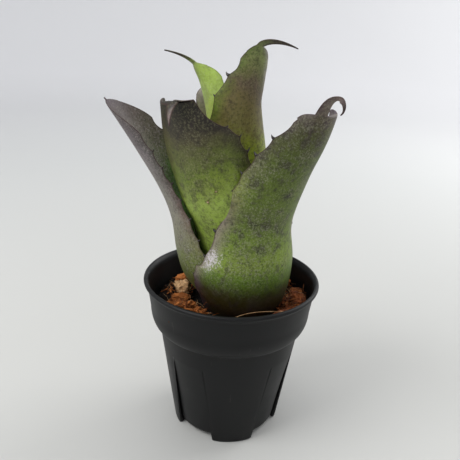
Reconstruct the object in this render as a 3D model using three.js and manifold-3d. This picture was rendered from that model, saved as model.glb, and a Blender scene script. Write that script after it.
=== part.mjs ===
// Potted tank bromeliad: an urn of broad, toothed leaves in a black nursery pot of husk chips.
// Millimetres, +Z up. The origin is on the pot's axis at the level the pot stands on; -Y is the front.
import * as THREE from 'three';
import { mergeVertices } from 'three/addons/utils/BufferGeometryUtils.js';
import Module from 'manifold-3d';

const wasm = await Module();
wasm.setup();

// ---- driving dimensions -------------------------------------------------------------------
const POT_HEIGHT = 111;          // standing surface to the top of the rim
const RIM_RADIUS = 60;           // outside of the rolled rim
const RIM_BEAD = 3.2;            // height and width of the rolled rim
const RIM_PROUD = 2.4;           // how far the rim stands out of the collar
const COLLAR_HEIGHT = 34;        // rim top down to the foot of the collar
const COLLAR_ROUND = 14;         // height over which the collar rounds in at its foot
const COLLAR_DRAFT = 2.4;        // how much the collar narrows above that rounding
const STEP_IN = 6.2;             // how far the collar rounds in
const FOOT_RADIUS = 38;          // outside of the body at its foot
const WALL = 1.4;                // pot wall
const FLOOR_THICKNESS = 2;       // pot bottom
const FLOOR_LIFT = 3;            // underside of the bottom above the standing surface
const PAD_RADIUS = 8;            // central pad that the bottom also stands on
const TONGUE_COUNT = 4;          // outer wall panels that run down into the feet
const TONGUE_TURN = -81;         // direction of the first tongue, degrees from +X
const TONGUE_FOOT_ARC = 43;      // arc that a tongue spans at its foot, degrees
const TONGUE_TOP_ARC = 60;       // and at its top
const PANEL_INSET = 3;           // the panels between the tongues stand this far in at their foot
const PANEL_TUCK = 2.5;          // how far a panel reaches behind each tongue, degrees
const SLIT_BELOW_COLLAR = 15;    // foot of the collar down to where tongues and panels part
const SLIT_BOTTOM = 7;           // lower end of the slits between them
const DRAIN_RADIUS = 4;          // holes in the bottom
const DRAIN_CIRCLE = 22;         // radius of the ring that they lie on
const MIX_BELOW_RIM = 19;        // rim top down to the potting mix
const MIX_GAP = 0.5;             // clearance between the mix and what it touches
const ROOT_RADIUS = 0.9;         // a main root
const LEAF_THICKNESS = 1.5;      // at the midrib
const LEAF_GAP = 0.35;           // least clearance between neighbouring leaves
const TOOTH_PITCH = 12;          // spacing of the marginal teeth
const TOOTH_HEIGHT = 1.8;        // how far a tooth stands out of the margin
const PLANT_X = 4;               // the rosette stands a little to the right of the pot's axis
const STEM_DEPTH = 16;           // depth of the short stock that the leaves grow from, below the mix
const CHIP_GAP = 0.4;            // clearance round a chip of husk
const JOIN = 0.4;                // how far pieces of the pot run into each other where they join

// Heights and radii that follow from those.
const COLLAR_FOOT = POT_HEIGHT - COLLAR_HEIGHT;
const COLLAR_TOP_RADIUS = RIM_RADIUS - RIM_PROUD;
const BODY_TOP_RADIUS = COLLAR_TOP_RADIUS - COLLAR_DRAFT - STEP_IN;
const SLIT_TOP = COLLAR_FOOT - SLIT_BELOW_COLLAR;
const MIX_LEVEL = POT_HEIGHT - MIX_BELOW_RIM;
const STEM_FOOT = MIX_LEVEL - STEM_DEPTH;

const group = new THREE.Group();
const rad = THREE.MathUtils.degToRad;

// ---- colours ------------------------------------------------------------------------------
const POT_BLACK = { color: 0x2b2c2e, roughness: 0.45 };
const GREEN = { color: 0x5f7440, roughness: 0.5 };
const DARK_LEAF = { color: 0x4a4a40, roughness: 0.5 };
const PURPLE_LEAF = { color: 0x6a5f62, roughness: 0.55 };
const BRIGHT_LEAF = { color: 0x9cc25a, roughness: 0.4 };
const MIX_BROWN = { color: 0x3a2a1e, roughness: 0.95 };
const HUSK = { color: 0xa8683c, roughness: 0.95 };
const HUSK_PALE = { color: 0xc89a72, roughness: 0.95 };
const ROOT = { color: 0x8a7a62, roughness: 0.9 };

function add(name, geometry, look) {
  const mesh = new THREE.Mesh(geometry, new THREE.MeshStandardMaterial({ metalness: 0, ...look }));
  mesh.name = name;
  group.add(mesh);
  return mesh;
}

// ---- closed meshes as solids, for cuts and joins ----------------------------------------------
function toSolid(geometry) {
  const bare = geometry.clone();
  for (const name of Object.keys(bare.attributes)) if (name !== 'position') bare.deleteAttribute(name);
  const merged = mergeVertices(bare, 1e-4);
  const triVerts = new Uint32Array(merged.index.array);
  const vertProperties = new Float32Array(merged.attributes.position.array);
  return new wasm.Manifold(new wasm.Mesh({ numProp: 3, vertProperties, triVerts }));
}

function toGeometry(solid) {
  const mesh = solid.getMesh();
  const geometry = new THREE.BufferGeometry();
  geometry.setAttribute('position', new THREE.BufferAttribute(new Float32Array(mesh.vertProperties), 3));
  geometry.setIndex(new THREE.BufferAttribute(new Uint32Array(mesh.triVerts), 1));
  geometry.computeVertexNormals();
  return geometry;
}

// A closed mesh from rings of points, each ring going the same way round, with both ends capped.
function loftRings(rings) {
  const count = rings[0].length;
  const points = rings.flat();
  const index = [];
  for (let i = 0; i + 1 < rings.length; i++) {
    for (let j = 0; j < count; j++) {
      const a = i * count + j, b = i * count + ((j + 1) % count);
      index.push(a, b, b + count, a, b + count, a + count);
    }
  }
  const half = count / 2;
  const last = (rings.length - 1) * count;
  for (let j = 0; j + 1 < half; j++) {       // the ring's two sides are paired, so a cap is a strip
    const k = count - 1 - j;
    index.push(j, k, k - 1, j, k - 1, j + 1);
    index.push(last + j, last + k - 1, last + k, last + j, last + j + 1, last + k - 1);
  }
  const geometry = new THREE.BufferGeometry();
  const flat = points.flatMap((p) => [p.x, p.y, p.z]);
  geometry.setAttribute('position', new THREE.Float32BufferAttribute(flat, 3));
  geometry.setIndex(index);
  geometry.computeVertexNormals();
  return geometry;
}

// Revolves a closed outline of [radius, height] points.
function revolve(outline, segments) {
  const points = outline.map(([r, z]) => new THREE.Vector2(r, z));
  const first = points[0], last = points[points.length - 1];
  if (first.x > 0 || last.x > 0) points.push(first.clone());
  return new THREE.LatheGeometry(points, segments).rotateX(Math.PI / 2);
}

// ---- leaves ---------------------------------------------------------------------------------
// A leaf is a strap carried along its midrib. Each station says where the midrib is and how the
// strap is rolled there:
//   [direction from the plant's axis in degrees, distance from the axis, height above the mix,
//    radius of the roll, arc left of the midrib, arc right of it, extra turn of the face]
// Left and right are as seen from outside the urn. The blade ends in two shoulders and a hooked
// cusp: shoulder is the length over which the blade closes, blunt how square it ends, and cusp,
// hook, swing and bend are the cusp's length, total bend, the bend's direction and how late it comes.
// Skew carries the right shoulder that much further along than the left one.
const LEAVES = {
  leaf_front_right: {
    look: GREEN, shoulder: 8, blunt: 6, cusp: 27, wide: 4.5, hook: 215, swing: 15, bend: 2, skew: 0,
    stations: [
      [-45, 12, -8, 12, 110, 110, 0], [-45, 28, 0, 28, 105, 100, 0], [-45, 34, 14, 34, 103, 90, 0],
      [-45, 36, 36, 35.5, 96, 66, 0], [-46, 34.5, 62, 32.5, 74, 38, 0], [-47, 43, 92, 30, 67, 60, -4],
      [-47, 51, 116, 25, 52, 76, -14], [-46, 58.5, 137, 18, 29, 98, -20]] },
  leaf_left: {
    look: PURPLE_LEAF, shoulder: 26, blunt: 1.8, cusp: 2, wide: 2, hook: 10, swing: 0, bend: 1, skew: 0,
    stations: [
      [176, 10.5, -4, 10.5, 110, 110, 0], [175, 24, 4.5, 24, 95, 100, 3], [173, 36, 18, 30, 85, 88, 6],
      [173, 42, 36, 30, 80, 77, 6], [173, 46, 60, 28, 70, 64, 5], [174, 55, 82, 25, 70, 62, 4],
      [177, 70, 108, 22, 68, 66, 2], [179, 87, 134, 19, 52, 50, 0]] },
  leaf_back_right: {
    look: GREEN, shoulder: 10, blunt: 3, cusp: 14, wide: 3, hook: 120, swing: 0, bend: 0.6, skew: 0,
    stations: [
      [35, 9.5, -1.5, 9.5, 110, 110, 0], [35, 22, 7, 22, 90, 110, 0], [36, 29, 19, 29, 85, 105, 0],
      [41, 34.5, 38, 32, 80, 95, -3], [47, 40, 58, 33, 70, 80, -7], [53, 41.5, 76, 27, 60, 70, -8],
      [53, 48, 92, 22, 46, 48, -5]] },
  leaf_back_left: {
    look: GREEN, shoulder: 10, blunt: 3, cusp: 16, wide: 3, hook: 120, swing: 0, bend: 0.6, skew: 0,
    stations: [
      [115, 9, 0, 9, 110, 110, 0], [115, 20.5, 8, 20.5, 95, 100, 0], [115, 26.5, 21, 26.5, 90, 88, 0],
      [116, 30, 44, 28.5, 84, 76, 0], [118, 35, 68, 28, 70, 60, 0], [120, 45, 90, 25, 58, 58, 0],
      [122, 56, 108, 20, 42, 42, 0]] },
  leaf_front_left: {
    look: DARK_LEAF, shoulder: 7, blunt: 4, cusp: 18, wide: 4, hook: 175, swing: 0, bend: 0.4, skew: 7,
    stations: [
      [-110, 8, 2.5, 8, 110, 110, 0], [-110, 18, 11, 18, 100, 100, 0], [-110, 24.5, 26, 24.5, 92, 95, 0],
      [-112, 28.5, 53, 27.5, 84, 84, 2], [-117, 35.5, 76, 30, 84, 65, 8], [-131, 43, 103, 31.5, 80, 59, 14],
      [-134, 50, 121, 30, 80, 54, 13], [-132, 56, 141, 26, 66, 22, 13]] },
  leaf_back: {
    look: PURPLE_LEAF, shoulder: 9, blunt: 3, cusp: 12, wide: 3, hook: 130, swing: 0, bend: 0.4, skew: 0,
    stations: [
      [100, 6.5, 6, 6.5, 110, 110, 0], [102, 14.5, 15.5, 14.5, 100, 100, 0], [106, 20, 32, 20, 95, 95, 0],
      [114, 22, 60, 20, 85, 85, 0], [126, 23, 88, 19, 80, 80, -14], [137, 23.5, 113, 19, 66, 66, -30],
      [144, 25, 132, 16, 60, 55, -40], [146, 28, 145, 14, 54, 44, -44]] },
  leaf_tall: {
    look: GREEN, shoulder: 10, blunt: 2.4, cusp: 25, wide: 2, hook: 100, swing: 80, bend: 0.25, skew: 0,
    stations: [
      [-65, 6.5, 7.5, 6.5, 110, 110, 0], [-65, 13, 17, 13, 100, 100, 0], [-65, 17.5, 35, 17.5, 95, 95, 0],
      [-68, 20, 58, 20, 85, 85, 2], [-76, 21, 82, 20, 75, 82, 8], [-90, 22, 108, 20, 62, 78, 20],
      [-94, 22, 136, 20, 57, 72, 32], [-80, 18, 156, 15, 46, 60, 20], [-68, 16, 171, 12, 29, 50, 8]] },
  leaf_inner: {
    look: BRIGHT_LEAF, shoulder: 12, blunt: 2, cusp: 20, wide: 2.2, hook: 60, swing: 0, bend: 0.3, skew: 0,
    stations: [
      [-150, 5, 11, 5, 110, 110, 0], [-150, 10.5, 21, 10.5, 100, 100, 0], [-150, 14, 42, 14, 95, 95, 0],
      [-152, 15, 72, 15, 90, 90, 0], [-158, 19, 104, 15, 92, 80, 6], [-165, 23.5, 133, 15, 84, 72, 14],
      [-170, 27.5, 149, 12, 62, 64, 20], [-174, 32.5, 158.5, 8, 40, 42, 24]] },
  leaf_newest: {
    look: BRIGHT_LEAF, shoulder: 24, blunt: 1.5, cusp: 8, wide: 1, hook: 20, swing: 0, bend: 1, skew: 0,
    stations: [
      [-20, 0, 15, 2.6, 150, 150, 0], [-20, 3, 38, 5, 150, 150, 0], [-60, 5, 78, 6.5, 150, 150, 0],
      [-90, 5, 113, 6, 140, 140, 0], [-110, 6, 132, 4, 90, 90, 0]] },
};

// Catmull-Rom curve through every column of the stations, t from 0 to 1.
function alongStations(stations, t) {
  const last = stations.length - 1;
  const i = Math.min(Math.floor(t * last), last - 1);
  const f = t * last - i;
  return stations[i].map((p1, c) => {
    const p2 = stations[i + 1][c];
    const p0 = i > 0 ? stations[i - 1][c] : 2 * p1 - p2;
    const p3 = i + 2 <= last ? stations[i + 2][c] : 2 * p2 - p1;
    return 0.5 * (2 * p1 + (p2 - p0) * f + (2 * p0 - 5 * p1 + 4 * p2 - p3) * f * f
      + (3 * p1 - p0 - 3 * p2 + p3) * f * f * f);
  });
}

// A point at a direction and distance from the plant's axis.
function fromPlant(az, out, z) {
  return new THREE.Vector3(PLANT_X + out * Math.cos(rad(az)), out * Math.sin(rad(az)), z);
}

// The midrib as frames at many closely spaced points, each with its length from the foot.
function midrib(leaf) {
  const STEPS = 300;
  const SHEATH = 0.35;           // share of the leaf whose sections lie level round the stem
  const frames = [];
  for (let i = 0; i <= STEPS; i++) {
    const [az, out, height, roll, left, right, turn] = alongStations(leaf.stations, i / STEPS);
    const point = fromPlant(az, out, MIX_LEVEL + height);
    const facing = rad(az + turn);
    frames.push({ point, inward: new THREE.Vector3(-Math.cos(facing), -Math.sin(facing), 0),
      roll, left: rad(left), right: rad(right), length: 0 });
  }
  frames.forEach((frame, i) => {
    const before = frames[Math.max(i - 1, 0)], after = frames[Math.min(i + 1, STEPS)];
    frame.along = after.point.clone().sub(before.point).normalize();
    const square = THREE.MathUtils.smoothstep(i / STEPS, 0, SHEATH);
    const lean = frame.inward.dot(frame.along) * square;
    frame.inward.addScaledVector(frame.along, -lean).normalize();
    if (i > 0) frame.length = before.length + frame.point.distanceTo(before.point);
  });
  const tip = frames[STEPS];
  const outward = tip.inward.clone().multiplyScalar(-Math.cos(rad(leaf.swing)))
    .addScaledVector(new THREE.Vector3().crossVectors(tip.inward, tip.along), Math.sin(rad(leaf.swing)));
  const CUSP_STEPS = 40;
  let point = tip.point.clone();
  for (let i = 1; i <= CUSP_STEPS; i++) {
    const angle = rad(leaf.hook) * (i / CUSP_STEPS) ** leaf.bend;
    const along = tip.along.clone().multiplyScalar(Math.cos(angle)).addScaledVector(outward, Math.sin(angle));
    point = point.clone().addScaledVector(along, leaf.cusp / CUSP_STEPS);
    const inward = tip.inward.clone().addScaledVector(along, -tip.inward.dot(along)).normalize();
    frames.push({ ...tip, point, along, inward, length: tip.length + leaf.cusp * i / CUSP_STEPS });
  }
  return { frames, blade: tip.length };
}

// Rows of points across the leaf; extra fattens it on every side, for the room that it needs.
function leafGeometry(leaf, extra = 0) {
  const COLUMNS = 8;
  const ROOT_ROWS = 4;
  const SKEW_RUN = 30;           // length over which the skew comes in
  const ROOT_STEP = TOOTH_PITCH / 2.4;
  const { frames, blade } = midrib(leaf);
  const total = blade + leaf.cusp;
  const rows = [];
  for (let i = 0; i < ROOT_ROWS; i++) rows.push([i * ROOT_STEP, 0]);
  const toothStart = ROOT_ROWS * ROOT_STEP;
  const toothEnd = blade - leaf.shoulder;
  const teeth = Math.max(3, Math.round((toothEnd - toothStart) / TOOTH_PITCH));
  for (let i = 0; i < teeth; i++) {
    const at = toothStart + (toothEnd - toothStart) * i / teeth;
    rows.push([at, TOOTH_HEIGHT], [at + TOOTH_PITCH / 5, 0]);
  }
  for (const share of [0, 0.5, 0.85, 0.97]) rows.push([toothEnd + share * leaf.shoulder, 0]);
  for (const share of [0.12, 0.35, 0.6, 0.82, 1]) rows.push([blade + share * leaf.cusp, 0]);

  const frameAt = (s) => frames.find((frame) => frame.length >= s - 1e-9) ?? frames[frames.length - 1];
  const { smoothstep } = THREE.MathUtils;
  const rings = rows.map(([s, tooth]) => {
    const skew = leaf.skew * smoothstep(s, blade - SKEW_RUN, blade) * (1 - smoothstep(s, blade, total));
    const closing = Math.max(0, s - toothEnd) / leaf.shoulder;
    const full = Math.sqrt(Math.max(0, 1 - Math.min(1, closing) ** leaf.blunt));
    const toCusp = s > blade - 5 ? leaf.wide * (total - s) / (leaf.cusp + 5) + 0.5 : 0;
    const thin = LEAF_THICKNESS * THREE.MathUtils.lerp(1, 0.5, Math.min(1, Math.max(0, s - toothEnd) / 30));
    const outer = [], inner = [];
    for (let j = 0; j <= COLUMNS; j++) {
      const u = 2 * j / COLUMNS - 1;
      const frame = frameAt(s + skew * u);
      const side = new THREE.Vector3().crossVectors(frame.inward, frame.along).normalize();
      const arc = u < 0 ? frame.left : frame.right;
      const margin = Math.abs(u) === 1 ? (tooth + extra) / frame.roll : 0;
      const angle = u * (Math.hypot(arc * full, toCusp / frame.roll) + margin);
      const toCentre = frame.inward.clone().multiplyScalar(Math.cos(angle));
      toCentre.addScaledVector(side, -Math.sin(angle));
      const centre = frame.point.clone().addScaledVector(frame.inward, frame.roll);
      const half = thin * (1 - 0.5 * u * u) / 2 + extra;
      outer.push(centre.clone().addScaledVector(toCentre, -frame.roll - half));
      inner.push(centre.clone().addScaledVector(toCentre, -frame.roll + half));
    }
    return [...outer, ...inner.reverse()];
  });
  return loftRings(rings);
}

// The leaves are listed from the oldest, outermost one inwards. Each is trimmed where an older one
// with its clearance would touch it.
const older = [];
for (const [name, leaf] of Object.entries(LEAVES)) {
  let solid = toSolid(leafGeometry(leaf));
  for (const fat of older) solid = solid.subtract(fat);
  older.push(toSolid(leafGeometry(leaf, LEAF_GAP)));
  add(name, toGeometry(solid), leaf.look);
}

// ---- pot ------------------------------------------------------------------------------------
const bodyRadius = (z) => THREE.MathUtils.mapLinear(z, FLOOR_LIFT, COLLAR_FOOT, FOOT_RADIUS, BODY_TOP_RADIUS);
const panelInset = (z) => PANEL_INSET * Math.max(0, 1 - (z / SLIT_TOP) ** 1.5);

// The outside of the wall as [radius, height] points, from the slits' top up to the rolled rim.
function wallOutside() {
  const ROUND_POINTS = 4;
  const roundTop = COLLAR_FOOT + COLLAR_ROUND;
  const points = [[bodyRadius(SLIT_TOP), SLIT_TOP], [BODY_TOP_RADIUS, COLLAR_FOOT]];
  for (let i = 1; i <= ROUND_POINTS; i++) {
    const angle = Math.PI / 2 * i / ROUND_POINTS;
    points.push([BODY_TOP_RADIUS + STEP_IN * Math.sin(angle), roundTop - COLLAR_ROUND * Math.cos(angle)]);
  }
  return [...points, [COLLAR_TOP_RADIUS, POT_HEIGHT - RIM_BEAD]];
}

// Outside radius of that wall at a height.
function wallRadius(z) {
  const points = wallOutside();
  const above = points.findIndex((point) => point[1] > z);
  const [r1, z1] = points[above - 1], [r2, z2] = points[above];
  return THREE.MathUtils.mapLinear(z, z1, z2, r1, r2);
}

// The wall above the slits: up the outside, over the rolled rim and down the inside.
function upperWall() {
  const RIM_POINTS = 4;
  const bead = RIM_BEAD / 2;
  const outside = wallOutside();
  const rim = [];
  for (let i = 0; i <= RIM_POINTS; i++) {
    const angle = Math.PI * (i / RIM_POINTS - 0.5);
    rim.push([RIM_RADIUS - bead + bead * Math.cos(angle), POT_HEIGHT - bead + bead * Math.sin(angle)]);
  }
  const inside = outside.map(([r, z]) => [r - WALL, z]).reverse();
  return toSolid(revolve([...outside, ...rim, ...inside], 48));
}

// A piece of wall between two radii, spread over an arc, both of which change with height.
function wallPiece(turn, levels) {
  const STEPS = 5;
  const rings = levels.map(({ z, arc, from, to }) => {
    const points = (r) => Array.from({ length: STEPS + 1 }, (_, i) => {
      const angle = rad(turn + arc * (i / STEPS - 0.5));
      return new THREE.Vector3(r * Math.cos(angle), r * Math.sin(angle), z);
    });
    return [...points(to), ...points(from).reverse()];
  });
  return toSolid(loftRings(rings));
}

// An upright cylinder between two heights.
function disc(radius, bottom, top, segments, { x, y } = { x: 0, y: 0 }) {
  const shape = new THREE.CylinderGeometry(radius, radius, top - bottom, segments).rotateX(Math.PI / 2);
  return toSolid(shape.translate(x, y, (bottom + top) / 2));
}

const tongueArc = (z) => THREE.MathUtils.mapLinear(z, 0, SLIT_TOP, TONGUE_FOOT_ARC, TONGUE_TOP_ARC);

function tongue(turn) {
  const level = (z, depth, round = 0) => ({
    z, arc: tongueArc(z), from: bodyRadius(z) - depth, to: bodyRadius(z) - round });
  const heel = (z) => panelInset(z) + WALL + JOIN / 2;
  const shell = wallPiece(turn, [level(SLIT_BOTTOM - 1, WALL), level(SLIT_TOP + JOIN, WALL)]);
  const foot = wallPiece(turn, [level(0, WALL, 0.8), level(1, WALL), level(FLOOR_LIFT + JOIN, WALL)]);
  const web = wallPiece(turn, [FLOOR_LIFT, SLIT_BOTTOM].map((z) => level(z, heel(z))));
  return shell.add(foot).add(web);
}

// A panel leans in towards its foot, which is rounded off.
function panel(turn) {
  const ROUND = 1;
  const LEVELS = 5;
  const level = (z, round = 0) => ({
    z, arc: 360 / TONGUE_COUNT - tongueArc(z) + 2 * PANEL_TUCK,
    from: bodyRadius(z) - panelInset(z) - WALL, to: bodyRadius(z) - panelInset(z) - round });
  const levels = [level(FLOOR_LIFT, ROUND)];
  for (let i = 0; i <= LEVELS; i++) {
    levels.push(level(THREE.MathUtils.lerp(FLOOR_LIFT + ROUND, SLIT_TOP + JOIN, i / LEVELS)));
  }
  return wallPiece(turn, levels);
}

function pot() {
  let solid = upperWall();
  const floorRadius = bodyRadius(FLOOR_LIFT) - PANEL_INSET - WALL + JOIN;
  solid = solid.add(disc(floorRadius, FLOOR_LIFT, FLOOR_LIFT + FLOOR_THICKNESS, 32));
  const spacing = 360 / TONGUE_COUNT;
  for (let i = 0; i < TONGUE_COUNT; i++) {
    const turn = TONGUE_TURN + i * spacing;
    solid = solid.add(tongue(turn)).add(panel(turn + spacing / 2));
    const hole = { x: DRAIN_CIRCLE * Math.cos(rad(turn)), y: DRAIN_CIRCLE * Math.sin(rad(turn)) };
    solid = solid.subtract(disc(DRAIN_RADIUS, 0, FLOOR_LIFT + 2 * FLOOR_THICKNESS, 12, hole));
  }
  return solid.add(disc(PAD_RADIUS, 0, FLOOR_LIFT + JOIN, 24));
}
add('pot', toGeometry(pot()), POT_BLACK);

// ---- stem, roots and potting mix ----------------------------------------------------------------
// The stem steps in under each leaf's foot, so its outline follows the feet from the oldest up.
function stemSolid(extra = 0) {
  const LEAST_RADIUS = 0.8;
  const TAPER = 2;                 // how much narrower the stock is at its lower end
  const feet = Object.values(LEAVES).map(({ stations: [[, out, height]] }) => [
    Math.max(out - LEAF_THICKNESS / 2 - LEAF_GAP, LEAST_RADIUS) + extra, MIX_LEVEL + height]);
  const outline = [[0, STEM_FOOT - extra], [feet[0][0] - TAPER, STEM_FOOT - extra], ...feet];
  outline.push([0, feet[feet.length - 1][1]]);
  return toSolid(revolve(outline, 20).translate(PLANT_X, 0, 0));
}
add('stem', toGeometry(stemSolid()), ROOT);

// A root runs out of the stock's underside and down through the mix.
function rootGeometry([turn, reach, share], radius, longer = 0) {
  const direction = new THREE.Vector3(Math.cos(rad(turn)), Math.sin(rad(turn)), 0);
  const at = (out, z) => new THREE.Vector3(PLANT_X, 0, z).addScaledVector(direction, out);
  const path = new THREE.CatmullRomCurve3([
    at(4, STEM_FOOT - MIX_GAP), at(5, STEM_FOOT * 0.9), at(reach * 0.7, STEM_FOOT * 0.7),
    at(reach, STEM_FOOT * share - longer)]);
  const section = new THREE.Shape();
  section.absarc(0, 0, radius, 0, 2 * Math.PI);
  return new THREE.ExtrudeGeometry(section, {
    steps: 7, curveSegments: 3, bevelEnabled: false, extrudePath: path });
}
// Direction, reach and the height that a root ends at, as a share of the stock's.
const ROOTS = [[20, 20, 0.4], [110, 24, 0.32], [200, 18, 0.47], [290, 22, 0.24]];

// The mix fills the pot to its level, with a hollow for the urn's base.
function mixSolid() {
  const CREST = 1;                 // the mix's top edge is drawn in by this much
  const floorTop = FLOOR_LIFT + FLOOR_THICKNESS + MIX_GAP;
  const outline = [[0, floorTop]];
  const LEVELS = 5;
  for (let i = 0; i <= LEVELS; i++) {
    const z = THREE.MathUtils.lerp(floorTop, SLIT_TOP, i / LEVELS);
    outline.push([bodyRadius(z) - panelInset(z) - WALL - MIX_GAP, z]);
  }
  const below = wallOutside().slice(1).filter((point) => point[1] < MIX_LEVEL - CREST);
  outline.push(...below.map(([r, z]) => [r - WALL - MIX_GAP, z]));
  outline.push([wallRadius(MIX_LEVEL - CREST) - WALL - MIX_GAP, MIX_LEVEL - CREST]);
  outline.push([wallRadius(MIX_LEVEL - CREST) - WALL - MIX_GAP - CREST, MIX_LEVEL], [0, MIX_LEVEL]);

  const [foot, shoulder, wide] = LEAVES.leaf_front_right.stations;
  const room = LEAF_THICKNESS / 2 + MIX_GAP;
  const urn = revolve([[0, foot[2] - 2 * room], [foot[1] + room, foot[2] - 2 * room],
    [(foot[1] + shoulder[1]) / 2 + 2 * room, (foot[2] + shoulder[2]) / 2 - room],
    [shoulder[1] + 2 * room, shoulder[2]], [wide[1] + 2 * room, wide[2]], [0, wide[2]]], 32);
  let solid = toSolid(revolve(outline, 40));
  solid = solid.subtract(toSolid(urn.translate(PLANT_X, 0, MIX_LEVEL))).subtract(stemSolid(MIX_GAP));
  for (const root of ROOTS) {
    solid = solid.subtract(toSolid(rootGeometry(root, ROOT_RADIUS + MIX_GAP, MIX_GAP)));
  }
  return solid;
}
ROOTS.forEach((root, i) => add(`root_${i + 1}`, rootGeometry(root, ROOT_RADIUS), ROOT));
add('potting_mix', toGeometry(mixSolid()), MIX_BROWN);

// ---- husk chips -----------------------------------------------------------------------------
// Each chip: direction from the plant's axis, how far it lies from the urn towards the pot's wall,
// length, width, thickness, turn, tilt and shade.
const CHIPS = [
  [172, 0.17, 17, 11, 9, 100, 12, HUSK_PALE], [192, 0.25, 12, 9, 6, 30, 8, HUSK],
  [212, 0.39, 16, 10, 7, 120, -6, HUSK], [232, 0.41, 14, 8, 5, 150, 5, HUSK],
  [256, 0.53, 12, 7, 4, 175, 4, HUSK], [284, 0.59, 15, 7, 4, 12, -4, HUSK_PALE],
  [318, 0.54, 15, 11, 8, 50, 10, HUSK], [344, 0.56, 17, 11, 10, 95, -12, HUSK],
  [8, 0.51, 13, 9, 7, 80, 6, HUSK], [38, 0.54, 15, 10, 6, 120, 8, HUSK],
  [68, 0.50, 16, 10, 7, 160, -8, HUSK], [98, 0.49, 13, 9, 6, 10, 6, HUSK_PALE],
  [124, 0.46, 15, 10, 6, 35, -6, HUSK], [150, 0.43, 13, 9, 7, 60, 8, HUSK],
];
const CHIP_FACETS = 40;

// Distance from the plant's axis to a circle round the pot's axis.
function distanceTo(radius, turn) {
  return -PLANT_X * Math.cos(rad(turn)) + Math.sqrt(radius ** 2 - (PLANT_X * Math.sin(rad(turn))) ** 2);
}

// The room that chips lie in: inside the pot's wall, above the mix.
function chipRoom() {
  const floor = MIX_LEVEL + CHIP_GAP / 2;
  const foot = wallRadius(floor) - WALL - CHIP_GAP;
  const top = COLLAR_TOP_RADIUS - WALL - CHIP_GAP;
  return toSolid(revolve([[0, floor], [foot, floor], [top, POT_HEIGHT], [0, POT_HEIGHT]], CHIP_FACETS));
}

// A rough lump of husk: a blunt block whose corners are drawn in unevenly.
function chipGeometry(index, length, width, thickness) {
  const lump = mergeVertices(bareIcosahedron());
  const points = lump.attributes.position;
  for (let i = 0; i < points.count; i++) {
    const p = new THREE.Vector3().fromBufferAttribute(points, i);
    const rough = 1 + 0.14 * Math.sin(7 * p.x + 5 * p.y + 3 * p.z + 2.1 * index);
    const block = new THREE.Vector3(...p.toArray().map((c) => Math.sign(c) * Math.abs(c) ** 0.7));
    p.copy(block).multiplyScalar(rough).multiply(new THREE.Vector3(length / 2, width / 2, thickness / 2));
    points.setXYZ(i, p.x, p.y, p.z);
  }
  lump.computeVertexNormals();
  return lump;
}

function bareIcosahedron() {
  const shape = new THREE.IcosahedronGeometry(1, 1);
  shape.deleteAttribute('normal');
  shape.deleteAttribute('uv');
  return shape;
}

const urnRadius = LEAVES.leaf_front_right.stations[2][1];
const chipWall = wallRadius(MIX_LEVEL) - WALL;
const room = chipRoom();
const placed = [...older];
CHIPS.forEach(([az, share, length, width, thickness, turn, tilt, look], i) => {
  const place = (extra) => {
    const lump = chipGeometry(i, length + 2 * extra, width + 2 * extra, thickness + 2 * extra);
    lump.rotateY(rad(tilt)).rotateZ(rad(turn));
    lump.computeBoundingBox();
    const out = THREE.MathUtils.lerp(urnRadius, distanceTo(chipWall, az), share);
    const rest = MIX_LEVEL + CHIP_GAP - extra - lump.boundingBox.min.z;
    return toSolid(lump.translate(...fromPlant(az, out, rest).toArray()));
  };
  let solid = place(0).intersect(room);
  for (const fat of placed) solid = solid.subtract(fat);
  placed.push(place(CHIP_GAP));
  const chip = toGeometry(solid);          // trimming its underside lets it settle on the mix
  chip.computeBoundingBox();
  chip.translate(0, 0, MIX_LEVEL + CHIP_GAP - chip.boundingBox.min.z);
  add(`husk_chip_${i + 1}`, chip, look);
});

export default group;
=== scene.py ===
"""Looks for a potted tank bromeliad: an urn of broad, spiny leaves in a black nursery pot of husk.

Everything is in metres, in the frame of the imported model: Z is the pot's axis, the pot stands at Z = 0
and -Y is the front. Surfaces are worked out on grids in millimetres, and MM turns them into metres.
"""
import math

import bpy
import numpy as np
from mathutils import Matrix, Vector


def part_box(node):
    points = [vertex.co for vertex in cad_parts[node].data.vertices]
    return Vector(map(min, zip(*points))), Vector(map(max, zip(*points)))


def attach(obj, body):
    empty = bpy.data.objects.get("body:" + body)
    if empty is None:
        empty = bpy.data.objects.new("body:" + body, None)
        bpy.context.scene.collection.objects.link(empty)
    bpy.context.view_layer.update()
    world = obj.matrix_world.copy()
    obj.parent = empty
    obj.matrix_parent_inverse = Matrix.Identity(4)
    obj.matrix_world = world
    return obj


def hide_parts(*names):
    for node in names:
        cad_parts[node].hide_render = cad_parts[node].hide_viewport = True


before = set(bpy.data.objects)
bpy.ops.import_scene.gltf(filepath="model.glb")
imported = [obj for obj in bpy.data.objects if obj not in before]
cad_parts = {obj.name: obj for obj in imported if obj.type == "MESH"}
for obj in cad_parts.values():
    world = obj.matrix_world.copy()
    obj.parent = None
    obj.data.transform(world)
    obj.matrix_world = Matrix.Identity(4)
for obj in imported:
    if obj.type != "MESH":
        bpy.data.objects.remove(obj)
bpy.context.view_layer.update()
MM = 0.001
TURN = 2 * math.pi


# ---- camera, light and floor ------------------------------------------------------------------

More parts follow.
